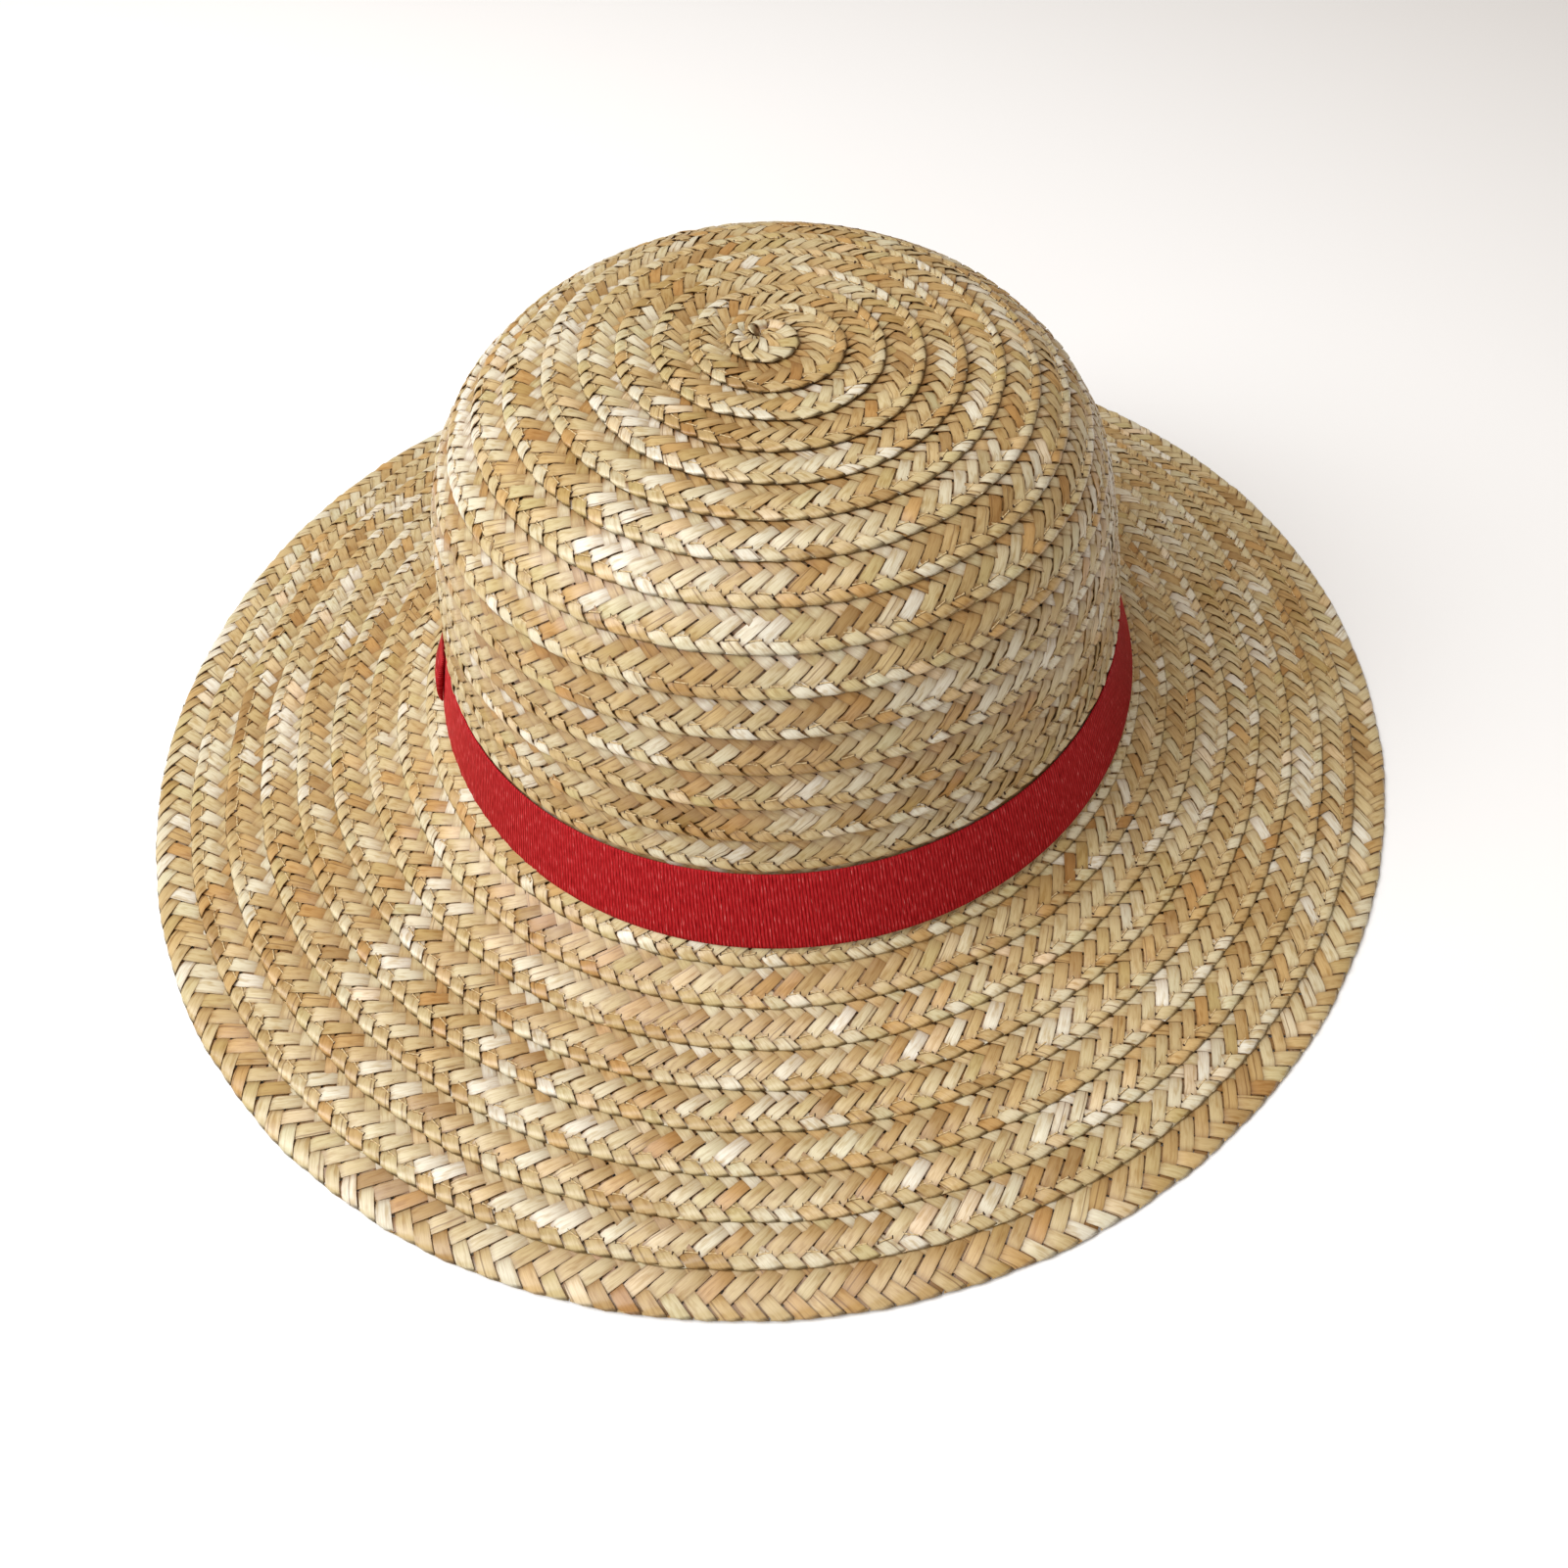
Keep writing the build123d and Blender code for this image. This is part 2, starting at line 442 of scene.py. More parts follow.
@dataclass(frozen=True)
class LegCourse:
    """Course of a leg across the plait, at stations from its outer edge inwards.

    Attributes:
        across: distance of each station from the outer edge, in crossings.
        height: height of an inward leg over the plait's middle, in swings. An
            outward leg is as far below it.
        bowed: what a leg that lies on top there rises further, in bows.
        slant: how far the cross line follows the legs that are crossed.
        face_in: how far the face looks sideways, as it does round a fold.
        face_up: how far it looks upwards.
        narrow: width of the strand, as a share of its full width.
        round_off: how far its corners are drawn in, in corner roundings.
        shade: how dark its upper face is where the seam, a gap or the turn
            before shades it.
        tuck: share of the tuck's shade that comes on top of that.
    """

    across: tuple[float, ...] = (
        -0.11, 0.1, 0.45, 1.02, 1.46, 1.86, 3.14, 3.86, 4.5, 5.1, 5.96, 7.05,
    )
    height: tuple[float, ...] = (0, 0.8, 1, 1, 0, -1, -1, 0.9, 1, 0.9, -1, 0)
    bowed: tuple[float, ...] = (0, 0, 0, 0, 0, 1.2, -0.6, 0, 1.0, 0, 0, 0)
    slant: tuple[float, ...] = (0, 0.3, 0.65, 1, 1, 1, 1, 1, 1, 1, 1, 0)
    face_in: tuple[float, ...] = (1, 0.5, 0, 0, 0, 0, 0, 0, 0, 0, 0, 1)
    face_up: tuple[float, ...] = (0, 0.87, 1, 1, 1, 1, 1, 1, 1, 1, 1, 0)
    narrow: tuple[float, ...] = (
        1, 0.985, 0.96, 0.955, 0.92, 0.98, 0.98, 0.91, 0.97, 0.98, 1, 1,
    )
    round_off: tuple[float, ...] = (1, 0.8, 0.3, 0, 0, 0, 0, 0, 0, 0, 0, -1)
    shade: tuple[float, ...] = (0.3, 0, 0, 0, 0.7, 0, 0.5, 0, 0, 1, 1, 1)
    tuck: tuple[float, ...] = (0, 0, 0, 0, 0, 0, 0, 0.5, 1, 0, 0, 0)

    def stations(self, name: str) -> np.ndarray:
        """One of the lists above as a column, a row for each station."""
        return np.array(getattr(self, name), float)[:, None]


@dataclass(frozen=True)
class Chance:
    """How much the strands and the sewing differ from place to place.

    Attributes:
        wide: share by which a strand's width differs.
        wide_range: the lowest and highest draw for it.
        shift: spread of a leg's place along the plait.
        tilt: spread of a leg's tilt to one side.
        swing: share by which a leg's height differs.
        edge: how far the outer edge wanders, and over which length.
        pucker: how far the sewing puckers the plait, and over which length.
        pucker_slant: how far a pucker runs along the plait for each mm inwards.
        pucker_at: distance of the puckers from the outer edge, and their reach.
        tone: a strand's middle tone.
        tone_and_highlight_near: how far it wanders, and over which length; its pale
            runs are partly the straw's own and partly painted highlight.
        tone_far: the same over a great length.
        tone_own: how far it differs from its neighbours.
    """

    wide: float = 0.07
    wide_range: tuple[float, float] = (-1.4, 1.0)
    shift: float = 0.11
    tilt: float = 0.05
    swing: float = 0.12
    edge: tuple[float, float] = (0.22, 7.0)
    pucker: tuple[float, float] = (0.12, 4.2)
    pucker_slant: float = 2.3
    pucker_at: tuple[float, float] = (3.2, 2.2)
    tone: float = 0.54
    tone_and_highlight_near: tuple[float, float] = (0.40, 14.0)
    tone_far: tuple[float, float] = (0.10, 130.0)
    tone_own: float = 0.27


@dataclass(frozen=True)
class Unevenness:
    """How the whole hat departs from its regular form.

    Attributes:
        wave: how much the brim edge rises and falls.
        waves: number of waves round the brim.
        wave_phase: phase of the waves at +X, in radians.
        front_half: half the angle from +X to the front, where the waves are full.
        back_in: how much shorter the brim is at the back.
        right_in: how much shorter still it is at the back on the right.
        lean: how far the crown's top leans to the side away from the keeper.
        tip_shift: how far the coil's beginning is off the hat's middle.
        wave_over: lengths from the tip between which the waves set in.
        short_over: lengths between which the brim's shortening sets in.
        lean_over: lengths between which the lean dies away.
        tip_over: lengths between which the tip's shift dies away.
    """

    wave: float = 0.6
    waves: int = 3
    wave_phase: float = 0.8
    front_half: float = 0.785
    back_in: float = 3.4
    right_in: float = 2.2
    lean: float = 1.4
    tip_shift: tuple[float, float] = (-4.4, 4.0)
    wave_over: tuple[float, float] = (190.0, 240.0)
    short_over: tuple[float, float] = (165.0, 240.0)
    lean_over: tuple[float, float] = (30.0, 110.0)
    tip_over: tuple[float, float] = (0.0, 15.0)

    def bend(self, points: np.ndarray, along: np.ndarray, azimuth: np.ndarray) -> np.ndarray:
        """Move points of the regular hat to where this one has them.

        The brim edge rises and falls as a sine round the hat, fully at the front
        and not at all at the back. The brim's back is moved in, the crown sideways
        and the tip both ways, each easing off along the form.

        Args:
            points: points of the regular hat, which are moved.
            along: their lengths from the tip.
            azimuth: their angles round the hat.

        Returns:
            The same points.
        """
        high = self.wave * ease(along, *self.wave_over)
        high = high * (0.5 + 0.5 * np.sin(self.waves * azimuth + self.wave_phase))
        points[..., 2] += high * np.cos(azimuth / 2 + self.front_half) ** 2
        back, right = np.sin(azimuth), np.cos(azimuth)
        short = self.back_in * ease(back, 0.3, 0.9)
        short = short + self.right_in * ease(back, 0.2, 0.6) * ease(right, 0.1, 0.6)
        points[..., 1] -= short * ease(along, *self.short_over)
        points[..., 0] += self.lean * (1 - ease(along, *self.lean_over))
        tip = 1 - ease(np.maximum(along, 0), *self.tip_over)
        for axis, shift in enumerate(self.tip_shift):
            points[..., axis] += shift * tip
        return points


@dataclass
class StrawPlait:
    """Seven-end flat plait of split straw, laid along the coil.

    Every strand zigzags between the plait's two edges. A leg is its run from one
    edge to the other. The legs that leave the outer edge go over one, under two,
    over two and under one of the legs that come back to it.

    Attributes:
        coil: where the plait lies.
        course: the way a leg goes.
        chance: how much one leg differs from another.
        uneven: how the hat departs from its regular form.
        ends: number of strands.
        fold_pitch: distance between two folds along the outer edge.
        column: width across the plait of one crossing where it is sewn.
        edge_column: the same in the last turn, which nothing squeezes.
        squeeze: how much narrower the first crossing is than the others.
        skew: how far the folds lag behind, which makes the legs steeper there.
        skew_over: distance from the outer edge, in crossings, over which.
        splint: length along the plait that one strand covers.
        strand: width of a strand as a share of that length.
        thick: thickness of a split straw.
        crown: how much its middle stands above its edges.
        swing: how far a strand goes over and under the plait's middle.
        bow: how much further it bows up where it goes over two.
        tuck: shade beside the edge of the turn before, on the crown and on the
            brim.
        lap: how much deeper the plait lies one turn's width in.
        corner: how far the corners of a fold are rounded back.
        roll: how far the outer edge is rolled down.
        roll_in: how far in the roll reaches.
        groove_in: the seam's distance from the outer edge.
        groove: how deep the stitches pull it.
        groove_wide: how far to each side they do.
        swell_in: distance of the swelling beside the seam from the outer edge.
        swell: how far the plait swells there.
        swell_wide: how far to each side it does.
        lift: clearance under the brim edge.
        least_room: least length along the form between the plait and the tip.
        spill_rim: rim lengths up to which the plait may have too little room.
        spill: share of what is left over that goes down there, and the length
            that it leaves alone first.
    """

    coil: Coil
    course: LegCourse = LegCourse()
    chance: Chance = Chance()
    uneven: Unevenness = Unevenness()
    ends: int = 7
    fold_pitch: float = 4.95
    column: float = 2.18
    edge_column: float = 2.42
    squeeze: float = 0.6
    skew: float = 1.0
    skew_over: float = 1.5
    splint: float = 4.68
    strand: float = 0.72
    thick: float = 0.24
    crown: float = 0.09
    swing: float = 0.27
    bow: float = 0.1
    tuck: tuple[float, float] = (0.85, 0.6)
    lap: float = 1.25
    corner: float = 0.07
    roll: float = 0.42
    roll_in: float = 0.6
    groove_in: float = 2.6
    groove: float = 0.55
    groove_wide: float = 0.6
    swell_in: float = 5.6
    swell: float = 0.32
    swell_wide: float = 1.5
    lift: float = 0.42
    least_room: float = 0.9
    spill_rim: float = 30.0
    spill: tuple[float, float] = (0.7, 0.3)

    def relief(self, turned: np.ndarray | float) -> np.ndarray | float:
        """Share of the seam's relief, which is low in the first, tight turns."""
        return np.interp(turned, [1.0, 9.0], [0.3, 1.0])

    def loose(self, turned: np.ndarray) -> np.ndarray:
        """Rise from 0 to 1 where the last turn begins, whose inside lies free."""
        return ease(turned, self.coil.turns - 1.0, self.coil.turns - 0.9)

    def sink(
        self, inward: np.ndarray, pitch: np.ndarray, sewn: np.ndarray, relief: np.ndarray
    ) -> np.ndarray:
        """How deep the plait's face lies below the form.

        It falls evenly from the outer edge inwards, by the lap in one turn's
        width. A bell-shaped groove follows the seam and a lower bell swells
        beside it; where the turn before covers it, the groove of that turn's
        seam is pressed into it too. The outer edge itself is rounded off.

        Args:
            inward: distance in from the outer edge.
            pitch: visible width of the turn.
            sewn: 1 where the plait's own edge is sewn down, 0 where it is free.
            relief: share of the full depth of the groove, swell and roll.

        Returns:
            Depth below the form.
        """
        depth = self.lap * np.maximum(inward, 0) / pitch
        for shift, share in ((0 * pitch, sewn * relief), (pitch, relief)):
            from_seam = (inward - shift - self.groove_in) / self.groove_wide
            from_swell = (inward - shift - self.swell_in) / self.swell_wide
            depth = depth + share * self.groove * np.exp(-(from_seam**2))
            depth = depth - share * self.swell * np.exp(-(from_swell**2))
        return depth + relief * self.roll * np.exp(-np.maximum(inward, 0) / self.roll_in)

    def lay(self, length: np.ndarray, inward: np.ndarray, out: np.ndarray) -> np.ndarray:
        """Carry points of the flat plait onto the hat.

        Args:
            length: place along the plait.
            inward: distance in from its outer edge.
            out: height above the plait's upper face.

        Returns:
            Points in mm. Near the tip, where the plait is wider than the room
            it has, what is left over is pushed down through the middle.
        """
        coil, chance = self.coil, self.chance
        rim = coil.at(length, coil.rim) + chance.edge[0] * wander(length, chance.edge[1], 11)
        azimuth = coil.at(length, coil.azimuth)
        turned = coil.at(length, coil.turned)
        pitch = coil.pitch_of(np.floor(turned).astype(int) + 1)
        along = rim - inward
        least = self.least_room
        room = least + least * np.log1p(np.exp((along - least) / least))
        high, step = chance.pucker
        from_pucker = (inward - chance.pucker_at[0]) / chance.pucker_at[1]
        pucker = high * wander(length + chance.pucker_slant * inward, step, 5)
        pucker = pucker * np.exp(-(from_pucker**2))
        depth = self.sink(inward, pitch, 1 - self.loose(turned), self.relief(turned))
        depth = depth + coil.at(length, coil.sunk)
        tight = rim < self.spill_rim
        share, free = self.spill
        depth = depth - pucker + np.where(tight, share * np.maximum(room - along - free, 0), 0.0)
        points = coil.form.place(np.where(tight, room, along), azimuth, out - depth + self.lift)
        return self.uneven.bend(points, along, azimuth)

    def legs(self, turn: int, lean: Lean) -> MeshParts:
        """Weave the legs of one turn that run one way.

        A leg is a thin strip with a crowned face. Its cross lines lie along the
        legs that it crosses, so that it dives just where their gaps are, and at
        both ends it goes half round a fold. The arrays run leg, station, corner
        round the strip.

        Args:
            turn: number of the turn, from 1.
            lean: which legs to make.

        Returns:
            The legs' mesh.
        """
        way, coil, chance, at = lean.value, self.coil, self.chance, self.course.stations
        low, high = (math.ceil(end / self.fold_pitch) for end in coil.span(turn))
        place = np.arange(low, high) * self.fold_pitch
        far_end = place + way * self.fold_pitch * self.ends / 2
        place = place[(far_end > 0) & (far_end < coil.length[-1])][:, None, None]
        rng = np.random.default_rng(1000 * turn + way)
        each = place.shape

        across = at("across")
        height = at("height") * way * self.swing
        height += self.bow * at("bowed") * (height > 0)
        # Round the strip: left edge, crowned middle, right edge, and the back.
        side = np.array([-1.0, 0.0, 1.0, 0.97, -0.97])
        upper = np.arange(len(side)) < 3
        rise = np.where(upper, 0.5, -0.5) * self.thick
        rise[1] += self.crown

        wide = self.splint / 2 * (1 + chance.wide * rng.uniform(*chance.wide_range, each))
        shift = rng.normal(0, chance.shift, each)
        tilt = rng.normal(0, chance.tilt, each)
        offset = wide * at("narrow") * side
        crossing = across - way * at("slant") * offset / self.fold_pitch
        outer = 1 - ease(crossing, 0.0, self.skew_over)
        relief = float(self.relief(float(turn)))
        free = self.loose(coil.at(place, coil.turned))
        lag = self.skew * outer * (1 - free) * relief
        length = place + way * (self.fold_pitch / 2 * crossing + lag) + offset + shift
        width = self.column + (self.edge_column - self.column) * free
        inward = width * crossing - way * at("face_in") * rise
        inward = inward - self.squeeze * (1 - outer) * (1 - free) * relief
        inward = inward + at("round_off") * self.corner * side**4
        out = height * (1 + chance.swing * rng.uniform(-1, 1, each))
        out = out - (self.swing + self.bow + self.thick / 2 + self.crown)
        out = out + at("face_up") * rise + tilt * offset
        points = self.lay(length, inward, out)

        seed = rng.uniform(0, 1, each)
        # Runs of tone along the plait: partly the straws' own paler runs, partly painted
        # highlight.
        tone = chance.tone + chance.tone_and_highlight_near[0] * wander(place, chance.tone_and_highlight_near[1], 21 + way)
        tone = tone + chance.tone_far[0] * wander(place, chance.tone_far[1], 31)
        tone = tone + chance.tone_own * rng.uniform(-1, 1, each)
        # Painted shade where another leg lies over it; from below that is the other legs.
        tuck = self.tuck[0] if turn <= coil.pitch_change else self.tuck[1]
        top = np.maximum(np.clip(-height / self.swing, 0, 1), at("shade") + at("tuck") * tuck)
        painted_shade = np.where(upper, top, np.clip(height / self.swing, 0, 1))
        return MeshParts(
            points,
            tube_faces(len(place), len(across), len(side)),
            (offset * self.strand, np.hypot(self.column, self.fold_pitch / 2) * across),
            # The edge number feeds the painted shade along each splint's edges.
            {"tone": tone, "seed": seed, "edge": np.abs(side), "painted_shade": painted_shade},
            np.array([0, -1, 2, 3, 4]),
        )

    def turn(self, turn: int) -> MeshParts:
        """Both ways' legs of one turn, as one mesh."""
        a, b = self.legs(turn, Lean.INWARD), self.legs(turn, Lean.OUTWARD)
        return MeshParts(
            np.concatenate([a.points, b.points]),
            [np.concatenate([fa, fb + len(a.points)]) for fa, fb in zip(a.faces, b.faces)],
            np.concatenate([a.uv, b.uv]).T,
            {name: np.concatenate([a.values[name], b.values[name]]) for name in a.values},
            np.concatenate([a.creases, b.creases]),
        )

    def node_of(self, turn: int) -> str:
        """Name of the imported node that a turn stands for."""
        if turn == 1:
            return "crown_start_coil"
        if turn <= self.coil.crown_turns:
            return f"crown_row_{turn:02d}"
        return f"brim_row_{turn - self.coil.crown_turns:02d}"

    def build(self, finish: "SplitStraw") -> list[bpy.types.Object]:
        """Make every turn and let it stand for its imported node.

        Args:
            finish: the straw's finish.

        Returns:
            The pieces, from the tip outwards.
        """
        material = finish.material()
        pieces = []
        for turn in range(1, self.coil.turns + 1):
            node = self.node_of(turn)
            piece = self.turn(turn).build(f"plait_{node}", material)
            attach(piece, BODY)
            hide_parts(node)
            log.info("%s: %d faces", piece.name, len(piece.data.polygons))
            pieces.append(piece)
        return pieces


# ---- the stitches -----------------------------------------------------------


@dataclass
class Stitches:
    """Machine stitches along the plait's seam.

    Attributes:
        plait: the plait they sew.
        every: length of one stitch and its gap.
        share: how much of that a stitch spans, with its needle holes.
        thread: diameter of the thread.
        seam: distance of the seam from the plait's outer edge.
        hole: width of the needle hole at each end, which gets painted shade.
        stray: spread of the stitches' places and of their slant.
        sunk: spread of their depth.
    """

    plait: StrawPlait
    every: float = 4.95
    share: float = 0.8
    thread: float = 0.3
    seam: float = 2.6
    hole: float = 0.95
    stray: float = 0.25
    sunk: float = 0.07

    def build(self, finish: "CottonThread") -> bpy.types.Object:
        """Sew each turn but the last to the next one.

        A stitch is a short tube along the seam whose ends go down through the
        straw. Where they enter it the tube is wide, flat and dark, painted shade of
        the needle hole round the thread.

        Args:
            finish: the thread's finish.

        Returns:
            The thread as one piece.
        """
        coil = self.plait.coil
        start, end = coil.span(2)[0], coil.span(coil.turns - 1)[1]
        middle = np.arange(start, end, self.every)[:, None, None]
        rng = np.random.default_rng(77)
        middle = middle + rng.normal(0, self.stray, middle.shape)
        # Stations along a stitch, where it is a needle hole, and its height there.
        t = np.array([-1, -0.8, -0.58, 0.58, 0.8, 1])[:, None]
        at_hole = np.array([1.0, 1, 0, 0, 1, 1])[:, None]
        rise = np.array([-0.7, -0.3, -0.1, -0.1, -0.3, -0.7])[:, None]
        length = middle + t * self.every * self.share / 2
        slant = rng.normal(0, self.stray, middle.shape) * t
        across = (self.thread + (self.hole - self.thread) * at_hole) / 2
        inward = self.seam + slant + across * np.cos(SEAM_ANGLES)
        sunk = rng.normal(0, self.sunk, middle.shape)
        out = rise + sunk + self.thread / 2 * np.sin(SEAM_ANGLES)
        made = MeshParts(
            self.plait.lay(length, inward, out),
            tube_faces(len(middle), len(t), len(SEAM_ANGLES)),
            (SEAM_ANGLES * self.thread / 2, length),
            # Painted shade of the needle holes, at both ends of a stitch.
            {"hole": at_hole},
        )
        piece = made.build("seam_thread", finish.material())
        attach(piece, BODY)
        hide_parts("braid_thread")
        log.info("%s: %d stitches", piece.name, len(middle))
        return piece


# ---- the ribbon -------------------------------------------------------------


@dataclass
class RibbonBand:
    """Grosgrain ribbon, stretched round the foot of the crown.

    Attributes:
        form: the hat's form.
        top: where its upper edge lies along the form.
        foot: where its lower edge lies.
        off: how far out of the form its inner face lies at its upper edge and
            at its lower one.
        side_in: how much closer its lower edge lies at the hat's sides.
        foot_right: how far its lower edge is off to the right.
        thick: its thickness.
        rib: distance between two ribs.
        rib_high: how far a rib stands out.
        slack: how far the band wanders off the crown, and over which length.
    """

    form: HatForm
    top: float = 143.6
    foot: float = 165.0
    off: tuple[float, float] = (-0.5, 0.2)
    side_in: float = 1.5
    foot_right: float = 1.2
    thick: float = 0.6
    rib: float = 0.82
    rib_high: float = 0.05
    slack: tuple[float, float] = (0.12, 38.0)

    def line(self, down: np.ndarray, azimuth: np.ndarray, out: np.ndarray) -> np.ndarray:
        """Points on the straight line from the upper to the lower edge.

        Args:
            down: 0 at the upper edge, 1 at the lower one.
            azimuth: angle round the hat.
            out: distance out of the ribbon's inner face.

        Returns:
            Points in mm.
        """
        edges = (self.top, self.off[0]), (self.foot, self.off[1])
        upper, lower = (
            self.form.place(np.full_like(azimuth, along), azimuth, np.full_like(azimuth, off))
            for along, off in edges
        )
        lower[..., 0] += self.foot_right - self.side_in * np.cos(azimuth)
        fall = lower - upper
        sideways = np.stack([np.cos(azimuth), np.sin(azimuth), 0 * azimuth], -1)
        across = np.hypot(fall[..., 0], fall[..., 1])
        length = np.hypot(across, fall[..., 2])
        face = sideways * (-fall[..., 2] / length)[..., None]
        face[..., 2] += across / length
        return upper + fall * down[..., None] + face * out[..., None]

    def girth(self) -> float:
        """Length round the middle of the band."""
        azimuth = np.linspace(0, 2 * np.pi, 721)
        half = np.full_like(azimuth, 0.5)
        loop = self.line(half, azimuth, half * 0)
        return float(np.linalg.norm(np.diff(loop, axis=0), axis=1).sum())

    def width(self) -> float:
        """Width of the ribbon from edge to edge."""
        ends = self.line(np.array([0.0, 1.0]), np.zeros(2), np.zeros(2))
        return float(np.linalg.norm(ends[1] - ends[0]))

    def build(self, finish: "Grosgrain") -> bpy.types.Object:
        """Carry the ribbon's cross-section round the crown.

        The outer face rises and falls as a sine once for each rib; the ribs die
        away at the woven edges, which are rounded.

        Args:
            finish: the ribbon's finish.

        Returns:
            The band.
        """
        girth, width = self.girth(), self.width()
        ribs = round(girth / self.rib)
        count = ribs * PER_RIB
        azimuth = (-np.arange(count) / count * 2 * np.pi)[:, None]
        # Round the cross-section: down the outer face and up the inner one.
        inset = self.thick / 2 / width
        down = np.array(
            [0.0, inset, 0.06, 0.3, 0.5, 0.7, 0.94, 1 - inset, 1.0, 1 - inset, 0.5, inset]
        )
        out = np.array([0.5, 0.92, 1, 1, 1, 1, 1, 0.92, 0.5, 0.08, 0, 0.08]) * self.thick
        ribbed = np.array([0, 0.5, 1, 1, 1, 1, 1, 0.5, 0, 0, 0, 0])
        phase = np.tile(np.arange(PER_RIB) / PER_RIB * 2 * np.pi, ribs)[:, None]
        high = self.rib_high * (np.sin(phase) - 1) / 2 * ribbed
        slack = self.slack[0] * wander(azimuth * girth / 2 / np.pi, self.slack[1], 41)
        points = self.line(down, azimuth, out + high + slack * np.sin(np.pi * down))
        flat = (-azimuth * girth / 2 / np.pi, down * width)
        made = MeshParts(points, hoop_faces(count, len(down)), flat)
        piece = made.build("grosgrain_band", finish.material())
        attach(piece, BODY)
        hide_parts("ribbon_band")
        log.info("%s: %.0f x %.1f mm", piece.name, girth, width)
        return piece


@dataclass
class RibbonKeeper:
    """Loop of the same ribbon that arches over the join of the band's ends.

    Attributes:
        band: the ribbon band it goes over.
        turn: its place round the crown from +X, in degrees.
        wide: its width.
        off: how far its inner side stands clear of the band.
        start: where its upper end begins, as a share of the band's width.
        loop: how far its arch stands off the band.
        sag: how far below the middle it stands furthest.
        end: where its lower end is sewn down, as a share of the band's width.
        flat: length of the strip with its turned-in ends, in band widths.
        full: power of the arch's sine; below one makes it fuller.
    """

    band: RibbonBand
    turn: float = 190.0
    wide: float = 10.0
    off: float = 0.1
    start: float = 0.06
    loop: float = 2.1
    sag: float = 3.0
    end: float = 0.84
    flat: float = 1.12
    full: float = 0.8

    def build(self, finish: "Grosgrain") -> bpy.types.Object:
        """Arch a folded strip over the band from its upper edge to its foot.

        Its height follows half a sine wave whose middle is moved down to the
        highest point. The strip is solid from there to the band, because the
        ribbon's folded end fills the loop.

        Args:
            finish: the ribbon's finish.

        Returns:
            The keeper.
        """
        width, girth = self.band.width(), self.band.girth()
        thick = self.band.thick
        ribs = round(width * self.flat / self.band.rib)
        along = np.linspace(0, 1, ribs * PER_RIB + 1)[:, None]
        peak = 0.5 + self.sag / width
        warp = along ** (math.log(0.5) / math.log(peak))
        arch = np.sin(np.pi * warp) ** self.full * (self.loop - thick) + thick
        # Round the cross-section: across the outer face and back along the inner.
        side = np.array([-0.5, -0.47, 0, 0.47, 0.5, 0.47, 0, -0.47])
        out = np.array([0.5, 0.9, 1.0, 0.9, 0.5, 0.1, 0.0, 0.1])
        ribbed = np.array([0, 0.6, 1, 0.6, 0, 0, 0, 0])
        phase = np.arange(len(along))[:, None] / PER_RIB * 2 * np.pi
        high = self.band.rib_high * (np.sin(phase) - 1) / 2 * ribbed
        azimuth = math.radians(self.turn) - side * self.wide / (girth / 2 / np.pi)
        down = self.start + along * (self.end - self.start)
        points = self.band.line(down, azimuth, thick + self.off + arch * out + high)
        faces = [f[:, ::-1] for f in tube_faces(1, len(along), len(side))]
        made = MeshParts(points, faces, (along * width, side * self.wide))
        piece = made.build("grosgrain_keeper", finish.material())
        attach(piece, BODY)
        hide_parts("ribbon_keeper")
        log.info("%s: %.0f mm wide", piece.name, self.wide)
        return piece


# ---- the sweatband ----------------------------------------------------------


